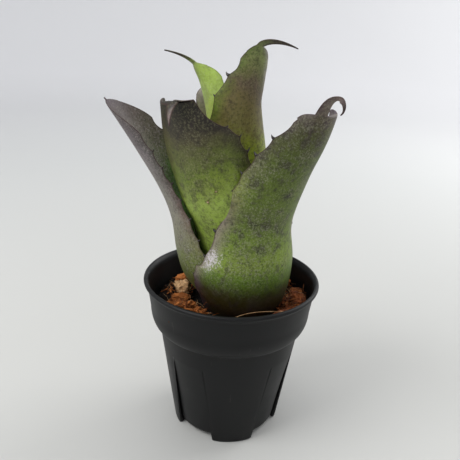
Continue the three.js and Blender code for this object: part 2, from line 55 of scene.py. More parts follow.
def make_camera():
    """Looks down on the front from a third of a metre away, with the head of the camera tipped a little."""
    pitch, roll = math.radians(20.7), math.radians(2.66)
    right = Vector((1, 0, 0))
    up = Vector((0, math.sin(pitch), math.cos(pitch)))
    back = Vector((0, -math.cos(pitch), math.sin(pitch)))
    data = bpy.data.cameras.new("camera")
    data.lens, data.sensor_width = 44, 36
    data.clip_start, data.clip_end = 0.01, 50
    camera = bpy.data.objects.new("camera", data)
    bpy.context.scene.collection.objects.link(camera)
    across = math.cos(roll) * right + math.sin(roll) * up
    upward = math.cos(roll) * up - math.sin(roll) * right
    turned = Matrix((across, upward, back)).transposed().to_4x4()
    camera.matrix_world = Matrix.Translation(Vector((-2.5, -352.0, 277.2)) * MM) @ turned
    bpy.context.scene.camera = camera


def softbox(name, place, aim, size, power):
    """A square lamp at place, in metres, turned to face aim."""
    data = bpy.data.lights.new(name, "AREA")
    data.shape, data.size, data.energy = "SQUARE", size, power
    lamp = bpy.data.objects.new(name, data)
    bpy.context.scene.collection.objects.link(lamp)
    lamp.location = place
    lamp.rotation_euler = (Vector(aim) - Vector(place)).to_track_quat("-Z", "Y").to_euler()


def linear(hex_colour):
    """An sRGB colour written as six hex digits, as linear red, green, blue and a full alpha."""
    parts = [int(hex_colour[i:i + 2], 16) / 255 for i in (0, 2, 4)]
    curve = [c / 12.92 if c <= 0.04045 else ((c + 0.055) / 1.055) ** 2.4 for c in parts]
    return (*curve, 1.0)


def add(tree, kind, sockets=None, stops=None, **settings):
    """Adds a node with its settings; sockets gives inputs a value or another node's output, stops a ramp."""
    made = tree.nodes.new(kind)
    for key, value in settings.items():
        setattr(made, key, value)
    for key, value in (sockets or {}).items():
        if isinstance(value, bpy.types.NodeSocket):
            tree.links.new(value, made.inputs[key])
        else:
            made.inputs[key].default_value = value
    if stops:
        ramp = made.color_ramp
        while len(ramp.elements) < len(stops):
            ramp.elements.new(0.5)
        for element, (position, colour) in zip(ramp.elements, stops):
            element.position, element.color = position, linear(colour)
    return made


def make_stage():
    """A pale floor that curves up into a wall all round, under a pale sky.

    Three softboxes light the plant, and a fourth lamp washes the wall.
    """
    world = bpy.data.worlds.new("studio")
    bpy.context.scene.world = world
    world.use_nodes = True
    world.node_tree.nodes["Background"].inputs["Color"].default_value = linear("e4e6ea")
    world.node_tree.nodes["Background"].inputs["Strength"].default_value = 0.8
    softbox("softbox_left", (-0.8, -0.45, 1.0), (0, 0, 0.12), 0.7, 9.0)
    softbox("softbox_right", (0.9, 0.55, 0.8), (0, 0, 0.12), 0.7, 6.0)
    softbox("softbox_top", (-0.1, 0.3, 1.5), (0, 0, 0.1), 1.0, 4.0)
    softbox("backdrop_wash", (1.1, 0.8, 1.1), (1.3, 1.9, 0.4), 0.8, 9.0)

    flat, bend, wall = 1.5, 0.7, 0.5
    around = np.linspace(0, TURN, 97)[:-1]
    curve = np.linspace(0, math.pi / 2, 13)
    radius = np.concatenate([[0.001, 0.6, 1.1], flat + bend * np.sin(curve), [flat + bend]])
    height = np.concatenate([[0, 0, 0], bend - bend * np.cos(curve), [bend + wall]])
    points = np.stack([radius[:, None] * np.cos(around), radius[:, None] * np.sin(around),
                       height[:, None] + 0 * around], axis=-1)
    floor = grid_object("floor", points, closed=True, caps=False)
    paper = bpy.data.materials.new("backdrop_board_painted_shade")
    paper.use_nodes = True
    tree = paper.node_tree
    shader = tree.nodes["Principled BSDF"]
    metres = add(tree, "ShaderNodeTexCoord").outputs["Object"]
    away = add(tree, "ShaderNodeVectorMath", {0: metres}, operation="LENGTH").outputs["Value"]
    sockets = {"Value": away, "From Min": 0.2, "From Max": 1.8}
    share = add(tree, "ShaderNodeMapRange", sockets).outputs["Result"]
    # Painted shade: the board is darker near the pot, for the shadow round its base, and paler out towards
    # the wall, standing in for light there.
    stops = [(0.0, "c3c3bf"), (0.35, "cbccca"), (1.0, "e2e2e3")]
    colour = add(tree, "ShaderNodeValToRGB", {"Fac": share}, stops=stops).outputs["Color"]
    tree.links.new(colour, shader.inputs["Base Color"])
    shader.inputs["Roughness"].default_value = 0.75
    floor.data.materials.append(paper)


# ---- meshes from grids ------------------------------------------------------------------------

def outward(points, faces):
    """The faces, turned over if the closed body that they make has a negative volume."""
    volume = 0.0
    for group in faces:
        a, b, c = (points[group[:, i]] for i in range(3))
        volume += np.einsum("ij,ij->", a, np.cross(b, c))
        if group.shape[1] == 4:
            volume += np.einsum("ij,ij->", a, np.cross(c, points[group[:, 3]]))
    return [group[:, ::-1] for group in faces] if volume < 0 else faces


def build_object(name, points, faces, closed=True):
    """A smooth-shaded object from points and a list of arrays of faces, each array of one size of face."""
    if closed:
        faces = outward(points, faces)
    mesh = bpy.data.meshes.new(name)
    mesh.vertices.add(len(points))
    mesh.vertices.foreach_set("co", points.astype(np.float32).ravel())
    corners = np.concatenate([group.ravel() for group in faces]).astype(np.int32)
    sizes = np.concatenate([np.full(len(group), group.shape[1]) for group in faces])
    starts = np.concatenate([[0], np.cumsum(sizes)[:-1]]).astype(np.int32)
    mesh.loops.add(len(corners))
    mesh.loops.foreach_set("vertex_index", corners)
    mesh.polygons.add(len(sizes))
    mesh.polygons.foreach_set("loop_start", starts)
    mesh.update(calc_edges=True)
    mesh.polygons.foreach_set("use_smooth", np.ones(len(sizes), bool))
    mesh.validate()
    made = bpy.data.objects.new(name, mesh)
    bpy.context.scene.collection.objects.link(made)
    return made


def ring_faces(pieces, rows, count, caps=True):
    """Faces of tubes of pieces x rows x count points: bands between rows, and a strip across each end."""
    start = (np.arange(pieces) * rows * count)[:, None, None]
    row = (np.arange(rows - 1) * count)[None, :, None]
    column = np.arange(count)[None, None, :]
    following = (column + 1) % count
    low, high = start + row, start + row + count
    bands = np.stack(np.broadcast_arrays(low + column, low + following, high + following, high + column), -1)
    faces = [bands.reshape(-1, 4)]
    if caps:
        near = np.arange(count // 2 - 1)[None, :]
        far = count - 1 - near
        for first, flip in ((start[:, :, 0], False), (start[:, :, 0] + (rows - 1) * count, True)):
            corners = first + near, first + far, first + far - 1, first + near + 1
            strip = np.stack(np.broadcast_arrays(*corners), -1)
            faces.append(strip.reshape(-1, 4)[:, ::-1] if flip else strip.reshape(-1, 4))
    return faces


def grid_object(name, points, closed=True, caps=True):
    """An object from rows x count points, or from pieces x rows x count points, each row a closed ring."""
    tubes = points if points.ndim == 4 else points[None]
    pieces, rows, count, _ = tubes.shape
    return build_object(name, tubes.reshape(-1, 3), ring_faces(pieces, rows, count, caps), closed and caps)


def write_attribute(made, name, values):
    """Stores one number, or one vector, for each point of the object's mesh."""
    kind, field = ("FLOAT", "value") if values.ndim == 1 else ("FLOAT_VECTOR", "vector")
    made.data.attributes.new(name, kind, "POINT").data.foreach_set(field, values.astype(np.float32).ravel())


def finish_piece(made, material, slot, *replaced):
    """Gives the piece its material, and says what it rides on and what it replaces; slot is not used."""
    made.data.materials.append(material)
    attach(made, "root")
    if replaced:
        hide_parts(*replaced)
    return made


def value_noise(points, size, seed):
    """Smooth noise from -1 to 1: random values on a lattice of the given size, blended between corners."""
    wrap = 32
    lattice = np.random.default_rng(seed).uniform(-1, 1, (wrap, wrap, wrap))
    scaled = points / size
    base = np.floor(scaled).astype(int)
    share = scaled - base
    share = share * share * (3 - 2 * share)
    total = np.zeros(points.shape[:-1])
    for corner in np.ndindex(2, 2, 2):
        weight = np.prod(np.where(np.array(corner) == 1, share, 1 - share), axis=-1)
        index = (base + corner) % wrap
        total += weight * lattice[index[..., 0], index[..., 1], index[..., 2]]
    return total


def rough_noise(points, size, seed, layers=3):
    """Layers of smooth noise, each half the size and half the strength of the one before."""
    return sum(value_noise(points, size / 2 ** k, seed + k) / 2 ** k for k in range(layers))


# ---- leaf shapes --------------------------------------------------------------------------------
# A leaf is a strap carried along its midrib. Each station says where the midrib is and how the strap
# is rolled there: [direction from the plant's axis in degrees, distance from it, height above the mix,
# radius of the roll, arc left of the midrib, arc right of it, extra turn of the face], left and right
# as seen from outside the urn. The blade closes over shoulder, blunt says how square, and ends in a
# hooked cusp.
PLANT_X = 4
MIX_LEVEL = 92
LEAF_THICKNESS = 1.5
TOOTH_PITCH = 12
TEETH_START = 20          # bare length at the foot of every leaf
SINUS = 1.5               # how far the margin sinks between two teeth
SPINE = 2.8               # length of a marginal spine
SKEW_RUN = 30             # length below the blade's end over which the skew comes in
THINNING_RUN = 30         # length over which the leaf thins to half above its shoulder
CUSP_ROOT = 5             # length that the cusp reaches down into the blade
LEAVES = {
    "leaf_front_right": dict(
        shoulder=8, blunt=6, cusp=27, wide=4.5, hook=215, swing=15, bend=2, skew=0, stations=[
        [-45, 12, -8, 12, 110, 110, 0], [-45, 28, 0, 28, 105, 100, 0], [-45, 34, 14, 34, 103, 90, 0],
        [-45, 36, 36, 35.5, 96, 66, 0], [-46, 34.5, 62, 32.5, 74, 38, 0], [-47, 43, 92, 30, 67, 60, -4],
        [-47, 51, 116, 25, 52, 76, -14], [-46, 58.5, 137, 18, 29, 98, -20]]),
    "leaf_left": dict(
        shoulder=26, blunt=1.8, cusp=2, wide=2, hook=10, swing=0, bend=1, skew=0, stations=[
        [176, 10.5, -4, 10.5, 110, 110, 0], [175, 24, 4.5, 24, 95, 100, 3], [173, 36, 18, 30, 85, 88, 6],
        [173, 42, 36, 30, 80, 77, 6], [173, 46, 60, 28, 70, 64, 5], [174, 55, 82, 25, 70, 62, 4],
        [177, 70, 108, 22, 68, 66, 2], [179, 87, 134, 19, 52, 50, 0]]),
    "leaf_back_right": dict(
        shoulder=10, blunt=3, cusp=14, wide=3, hook=120, swing=0, bend=0.6, skew=0, stations=[
        [35, 9.5, -1.5, 9.5, 110, 110, 0], [35, 22, 7, 22, 90, 110, 0], [36, 29, 19, 29, 85, 105, 0],
        [41, 34.5, 38, 32, 80, 95, -3], [47, 40, 58, 33, 70, 80, -7], [53, 41.5, 76, 27, 60, 70, -8],
        [53, 48, 92, 22, 46, 48, -5]]),
    "leaf_back_left": dict(
        shoulder=10, blunt=3, cusp=16, wide=3, hook=120, swing=0, bend=0.6, skew=0, stations=[
        [115, 9, 0, 9, 110, 110, 0], [115, 20.5, 8, 20.5, 95, 100, 0], [115, 26.5, 21, 26.5, 90, 88, 0],
        [116, 30, 44, 28.5, 84, 76, 0], [118, 35, 68, 28, 70, 60, 0], [120, 45, 90, 25, 58, 58, 0],
        [122, 56, 108, 20, 42, 42, 0]]),
    "leaf_front_left": dict(
        shoulder=7, blunt=4, cusp=18, wide=4, hook=175, swing=0, bend=0.4, skew=7, stations=[
        [-110, 8, 2.5, 8, 110, 110, 0], [-110, 18, 11, 18, 100, 100, 0], [-110, 24.5, 26, 24.5, 92, 95, 0],
        [-112, 28.5, 53, 27.5, 84, 84, 2], [-117, 35.5, 76, 30, 84, 65, 8], [-131, 43, 103, 31.5, 80, 59, 14],
        [-134, 50, 121, 30, 80, 54, 13], [-132, 56, 141, 26, 66, 22, 13]]),
    "leaf_back": dict(
        shoulder=9, blunt=3, cusp=12, wide=3, hook=130, swing=0, bend=0.4, skew=0, stations=[
        [100, 6.5, 6, 6.5, 110, 110, 0], [102, 14.5, 15.5, 14.5, 100, 100, 0], [106, 20, 32, 20, 95, 95, 0],
        [114, 22, 60, 20, 85, 85, 0], [126, 23, 88, 19, 80, 80, -14], [137, 23.5, 113, 19, 66, 66, -30],
        [144, 25, 132, 16, 60, 55, -40], [146, 28, 145, 14, 54, 44, -44]]),
    "leaf_tall": dict(
        shoulder=10, blunt=2.4, cusp=25, wide=2, hook=100, swing=80, bend=0.25, skew=0, stations=[
        [-65, 6.5, 7.5, 6.5, 110, 110, 0], [-65, 13, 17, 13, 100, 100, 0], [-65, 17.5, 35, 17.5, 95, 95, 0],
        [-68, 20, 58, 20, 85, 85, 2], [-76, 21, 82, 20, 75, 82, 8], [-90, 22, 108, 20, 62, 78, 20],
        [-94, 22, 136, 20, 57, 72, 32], [-80, 18, 156, 15, 46, 60, 20], [-68, 16, 171, 12, 29, 50, 8]]),
    "leaf_inner": dict(
        shoulder=12, blunt=2, cusp=20, wide=2.2, hook=60, swing=0, bend=0.3, skew=0, stations=[
        [-150, 5, 11, 5, 110, 110, 0], [-150, 10.5, 21, 10.5, 100, 100, 0], [-150, 14, 42, 14, 95, 95, 0],
        [-152, 15, 72, 15, 90, 90, 0], [-158, 19, 104, 15, 92, 80, 6], [-165, 23.5, 133, 15, 84, 72, 14],
        [-170, 27.5, 149, 12, 62, 64, 20], [-174, 32.5, 158.5, 8, 40, 42, 24]]),
    "leaf_newest": dict(
        shoulder=24, blunt=1.5, cusp=8, wide=1, hook=20, swing=0, bend=1, skew=0, stations=[
        [-20, 0, 15, 2.6, 150, 150, 0], [-20, 3, 38, 5, 150, 150, 0], [-60, 5, 78, 6.5, 150, 150, 0],
        [-90, 5, 113, 6, 140, 140, 0], [-110, 6, 132, 4, 90, 90, 0]]),
}


def unit(vectors):
    return vectors / np.linalg.norm(vectors, axis=-1, keepdims=True)


def smoothstep(low, high, x):
    t = np.clip((x - low) / (high - low), 0, 1)
    return t * t * (3 - 2 * t)


def midrib(leaf):
    """The midrib, finely: a Catmull-Rom curve through the stations, then a cusp that turns by hook.

    Gives the length from the foot and, for each length, the point, the direction inward, the direction
    along, the radius of the roll and the arcs to the left and right margins in radians.
    """
    steps, cusp_steps, sheath = 600, 60, 0.35
    stations = np.array(leaf["stations"], float)
    padded = np.vstack([2 * stations[0] - stations[1], stations, 2 * stations[-1] - stations[-2]])
    t = np.linspace(0, len(stations) - 1, steps + 1)
    first = np.minimum(t.astype(int), len(stations) - 2)
    f = (t - first)[:, None]
    p0, p1, p2, p3 = (padded[first + k] for k in range(4))
    row = 0.5 * (2 * p1 + (p2 - p0) * f + (2 * p0 - 5 * p1 + 4 * p2 - p3) * f ** 2
                 + (3 * p1 - p0 - 3 * p2 + p3) * f ** 3)
    azimuth = np.radians(row[:, 0])
    point = np.stack([PLANT_X + row[:, 1] * np.cos(azimuth), row[:, 1] * np.sin(azimuth),
                      MIX_LEVEL + row[:, 2]], -1)
    facing = azimuth + np.radians(row[:, 6])
    inward = np.stack([-np.cos(facing), -np.sin(facing), 0 * facing], -1)
    along = unit(np.gradient(point, axis=0))
    square = smoothstep(0, sheath, np.linspace(0, 1, steps + 1))[:, None]
    inward = unit(inward - np.sum(inward * along, -1, keepdims=True) * square * along)

    x = np.linspace(0, 1, cusp_steps + 1)[1:, None]
    swing = math.radians(leaf["swing"])
    outward_way = -inward[-1] * math.cos(swing) + np.cross(inward[-1], along[-1]) * math.sin(swing)
    angle = math.radians(leaf["hook"]) * x ** leaf["bend"]
    cusp_along = along[-1] * np.cos(angle) + outward_way * np.sin(angle)
    cusp_point = point[-1] + np.cumsum(cusp_along, 0) * leaf["cusp"] / cusp_steps
    cusp_inward = unit(inward[-1] - np.sum(inward[-1] * cusp_along, -1, keepdims=True) * cusp_along)

    point = np.vstack([point, cusp_point])
    rolled = np.vstack([row[:, 3:6], np.repeat(row[-1:, 3:6], cusp_steps, 0)])
    length = np.concatenate([[0], np.cumsum(np.linalg.norm(np.diff(point, axis=0), axis=1))])
    columns = np.hstack([point, np.vstack([inward, cusp_inward]), np.vstack([along, cusp_along]),
                         rolled[:, :1], np.radians(rolled[:, 1:])])
    return length, columns, length[steps]


def teeth_of(leaf, blade):
    """Lengths from the foot at which the margins carry a tooth."""
    end = blade - leaf["shoulder"]
    count = max(3, round((end - TEETH_START) / TOOTH_PITCH))
    return TEETH_START + (end - TEETH_START) * np.arange(count + 1) / count


def on_leaf(leaf, s, u, side=0.0):
    """Points on a leaf at length s from the foot and share u of the way to a margin, in millimetres.

    Across the leaf a point is turned round the roll's centre by u times the arc to that margin; side is 1
    on the outer face, -1 on the inner one and 0 in the middle of the thickness. Also gives the arc's
    length from the midrib and the distance to the nearer margin.
    """
    length, columns, blade = leaf["midrib"]
    s, u, side = np.broadcast_arrays(s, u, side)
    skewed = s + leaf["skew"] * u * smoothstep(blade - SKEW_RUN, blade, s) * smoothstep(length[-1], blade, s)
    at = np.stack([np.interp(skewed, length, c) for c in columns.T], -1)
    point, inward, along, roll = at[..., 0:3], unit(at[..., 3:6]), unit(at[..., 6:9]), at[..., 9]
    sideways = unit(np.cross(inward, along))
    teeth = teeth_of(leaf, blade)
    x = np.interp(s, teeth, np.arange(len(teeth)))
    sinus = SINUS * 4 * (x % 1) * (1 - x % 1) * smoothstep(TEETH_START, TEETH_START + 10, s)
    start = blade - leaf["shoulder"]
    closing = np.clip((s - start) / leaf["shoulder"], 0, 1)
    full = np.sqrt(np.maximum(0, 1 - closing ** leaf["blunt"]))
    taper = (length[-1] - s) / (leaf["cusp"] + CUSP_ROOT)
    cusp_width = np.where(s > blade - CUSP_ROOT, leaf["wide"] * taper + 0.3, 0)
    arc = np.where(u < 0, at[..., 10], at[..., 11])
    reach = np.hypot(np.maximum(arc - sinus / roll, 0) * full, cusp_width / roll)
    angle = u * reach
    thin = LEAF_THICKNESS * (1 - 0.5 * np.clip((s - start) / THINNING_RUN, 0, 1))
    lift = side * thin * (1 - 0.7 * u ** 4) / 2
    spoke = np.sin(angle)[..., None] * sideways - np.cos(angle)[..., None] * inward
    place = point + roll[..., None] * inward + (roll + lift)[..., None] * spoke
    return place, angle * roll, (1 - np.abs(u)) * reach * roll


def leaf_piece(name, leaf, rows=300, columns=56):
    """The leaf as one closed strap: outer face, rounded margin, inner face and the other margin, row by row.

    The attribute leaf_place holds the arc from the midrib in mm, the share of the length and 1 on the
    inner face; leaf_rim holds the distance to the nearer margin in mm.
    """
    leaf["midrib"] = midrib(leaf)
    total = leaf["midrib"][0][-1]
    s = np.linspace(0, total, rows)[:, None]
    across = np.sin(np.linspace(-1, 1, columns + 1) * math.pi / 2)
    ring_u = np.concatenate([[-1.006], across, [1.006], across[::-1]])[None, :]
    side = np.concatenate([[0], np.ones(columns + 1), [0], -np.ones(columns + 1)])[None, :]
    place, arc, rim = on_leaf(leaf, s, ring_u, side)
    made = grid_object(name + "_blade", place * MM)
    share = np.broadcast_to(s / total, arc.shape)
    inner = np.broadcast_to((1 - side) / 2, arc.shape)
    write_attribute(made, "leaf_place", np.stack([arc, share, inner], -1).reshape(-1, 3))
    write_attribute(made, "leaf_rim", np.maximum(rim, 0).ravel())
    return made


def spine_piece(name, leaf, seed):
    """Horny spines along both margins: flattened cones whose centreline bends towards the leaf's tip."""
    rng = np.random.default_rng(seed)
    teeth = teeth_of(leaf, leaf["midrib"][2])[:-1]
    s = np.concatenate([teeth, teeth])
    margin = np.repeat([-1.0, 1.0], len(teeth))
    edge = on_leaf(leaf, s, margin)[0]
    out_way = unit(edge - on_leaf(leaf, s, margin * 0.97)[0])
    along = unit(on_leaf(leaf, s + 0.5, margin)[0] - on_leaf(leaf, s - 0.5, margin)[0])
    flat_way = np.cross(out_way, along)
    size = SPINE * rng.uniform(0.75, 1.25, len(s)) * smoothstep(15, 45, s)
    t = np.linspace(0, 1, 7)[None, :, None, None]
    around = (TURN * np.arange(8) / 8)[None, None, :, None]
    reach = size[:, None, None, None]
    centre = (edge - 0.6 * out_way)[:, None, None, :]
    centre = centre + reach * t * out_way[:, None, None, :] + 0.55 * reach * t ** 2 * along[:, None, None, :]
    slim = (1 - t) ** 0.8 + 0.02
    width = 0.34 * reach * slim * np.cos(around) * along[:, None, None, :]
    thick = 0.2 * reach * slim * np.sin(around) * flat_way[:, None, None, :]
    return grid_object(name + "_spines", (centre + width + thick) * MM)


# ---- leaf finishes --------------------------------------------------------------------------------

def leaf_tissue(name, look, spots):
    """Living bromeliad leaf: waxy green tissue under purple pigment, dark flecks and a pale, dusty scurf.

    Ramps along the length colour the outer face's middle, its left and its right edge, and the inner face; on
    some leaves these ramps also carry painted light and shade.
    Pigment gathers in cloudy patches of about 8 mm. Flecks and scurf scales are about 1 mm, a little
    coarser than real ones so that they show. Spots are single marks at places on the leaf.
    """
    material = bpy.data.materials.new(name)
    material.use_nodes = True
    tree = material.node_tree
    shader = tree.nodes["Principled BSDF"]
    place = add(tree, "ShaderNodeAttribute", attribute_name="leaf_place").outputs["Vector"]
    across, along, inner = add(tree, "ShaderNodeSeparateXYZ", {"Vector": place}).outputs
    rim = add(tree, "ShaderNodeAttribute", attribute_name="leaf_rim").outputs["Fac"]
    metres = add(tree, "ShaderNodeTexCoord").outputs["Object"]

    sizes = {"patches": (7, 5), "broad": (20, 3), "fleck": (1.6, 3), "scale": (1.2, 3)}
    noise = {}
    for key, (size, detail) in sizes.items():
        sockets = {"Vector": metres, "Scale": 1 / (size * MM), "Detail": detail, "Roughness": 0.7}
        noise[key] = add(tree, "ShaderNodeTexNoise", sockets).outputs["Fac"]
    shift = add(tree, "ShaderNodeMath", {0: noise["patches"], 1: 0.14, 2: -0.07}, operation="MULTIPLY_ADD")
    run = add(tree, "ShaderNodeMath", {0: shift.outputs["Value"], 1: along}, operation="ADD").outputs["Value"]
    ramps = {}
    for key in ("outer", "left", "right", "inner"):
        stops = look.get(key, look["outer"])
        ramps[key] = add(tree, "ShaderNodeValToRGB", {"Fac": run}, stops=stops).outputs["Color"]

    # The edges' colours fade inwards over the width of the edge, which wanders.
    wander = add(tree, "ShaderNodeMath", {0: noise["broad"], 1: 8.0, 2: rim}, operation="MULTIPLY_ADD")
    sockets = {"Value": wander.outputs["Value"], "From Min": look["edge"] + 6, "From Max": 3.0}
    near = add(tree, "ShaderNodeMapRange", sockets, interpolation_type="SMOOTHSTEP").outputs["Result"]
    colour = ramps["outer"]
    for key, way in (("left", -5.0), ("right", 5.0)):
        side = add(tree, "ShaderNodeMapRange", {"Value": across, "From Max": way}).outputs["Result"]
        share = add(tree, "ShaderNodeMath", {0: near, 1: side}, operation="MULTIPLY").outputs["Value"]
        colour = add(tree, "ShaderNodeMix", {0: share, 6: colour, 7: ramps[key]}, data_type="RGBA").outputs[2]
    colour = add(tree, "ShaderNodeMix", {0: inner, 6: colour, 7: ramps["inner"]}, data_type="RGBA").outputs[2]

    # Layers: noise, where it starts and is full, strength, colour. Scurf lies thickest where broad is high.
    layers = [("broad", 0.5, 0.62, look["bloom"], "bloom_colour"),
              ("patches", 0.48, 0.64, look["pigment"], "pigment_colour"),
              ("fleck", 0.48, 0.64, look["flecks"], "fleck_colour"),
              ("scale", 0.46, 0.66, look["scurf"], "scurf_colour")]
    for key, start, full, strength, tint in layers:
        sockets = {"Value": noise[key], "From Min": start, "From Max": full, "To Max": strength}
        share = add(tree, "ShaderNodeMapRange", sockets, interpolation_type="SMOOTHSTEP").outputs["Result"]
        if key == "scale":
            sockets = {"Value": noise["broad"], "From Min": 0.35, "From Max": 0.6, "To Min": 0.3}
            dusty = add(tree, "ShaderNodeMapRange", sockets).outputs["Result"]
            sockets = {"Value": along, "From Min": 0.17, "From Max": 0.3}
            above = add(tree, "ShaderNodeMapRange", sockets).outputs["Result"]
            dusty = add(tree, "ShaderNodeMath", {0: dusty, 1: above}, operation="MULTIPLY").outputs["Value"]
            share = add(tree, "ShaderNodeMath", {0: share, 1: dusty}, operation="MULTIPLY").outputs["Value"]
        sockets = {0: share, 6: colour, 7: linear(look[tint])}
        colour = add(tree, "ShaderNodeMix", sockets, data_type="RGBA").outputs[2]

    for centre, radius, hex_colour, strength in spots:
        sockets = {0: metres, 1: centre}
        away = add(tree, "ShaderNodeVectorMath", sockets, operation="DISTANCE").outputs["Value"]
        sockets = {0: noise["scale"], 1: 4 * radius * MM, 2: away}
        ragged = add(tree, "ShaderNodeMath", sockets, operation="MULTIPLY_ADD").outputs["Value"]
        sockets = {"Value": ragged, "From Min": 3 * radius * MM, "From Max": 2 * radius * MM,
                   "To Max": strength}
        share = add(tree, "ShaderNodeMapRange", sockets, interpolation_type="SMOOTHSTEP").outputs["Result"]
        sockets = {0: share, 6: colour, 7: linear(hex_colour)}
        colour = add(tree, "ShaderNodeMix", sockets, data_type="RGBA").outputs[2]

    # The margin itself is a thin dry line.
    sockets = {"Value": rim, "From Min": 0.9, "From Max": 0.2, "To Max": look["line"]}
    dry = add(tree, "ShaderNodeMapRange", sockets).outputs["Result"]
    sockets = {0: dry, 6: colour, 7: linear(look["line_colour"])}
    colour = add(tree, "ShaderNodeMix", sockets, data_type="RGBA").outputs[2]
    tree.links.new(colour, shader.inputs["Base Color"])

    # Lengthwise veins about 1.3 mm apart under the grain of the scurf, whose scales are also rougher.
    phase = add(tree, "ShaderNodeMath", {0: across, 1: TURN / 1.3}, operation="MULTIPLY").outputs["Value"]
    veins = add(tree, "ShaderNodeMath", {0: phase}, operation="SINE").outputs["Value"]
    sockets = {0: veins, 1: 0.1, 2: noise["fleck"]}
    relief = add(tree, "ShaderNodeMath", sockets, operation="MULTIPLY_ADD").outputs["Value"]
    bump = add(tree, "ShaderNodeBump", {"Height": relief, "Strength": 0.35, "Distance": 0.25 * MM})
    tree.links.new(bump.outputs["Normal"], shader.inputs["Normal"])
    sockets = {"Value": noise["scale"], "From Min": 0.4, "From Max": 0.7,
               "To Min": look["gloss"], "To Max": 0.7}
    rough = add(tree, "ShaderNodeMapRange", sockets).outputs["Result"]
    tree.links.new(rough, shader.inputs["Roughness"])
    shader.inputs["IOR"].default_value = 1.36
    return material


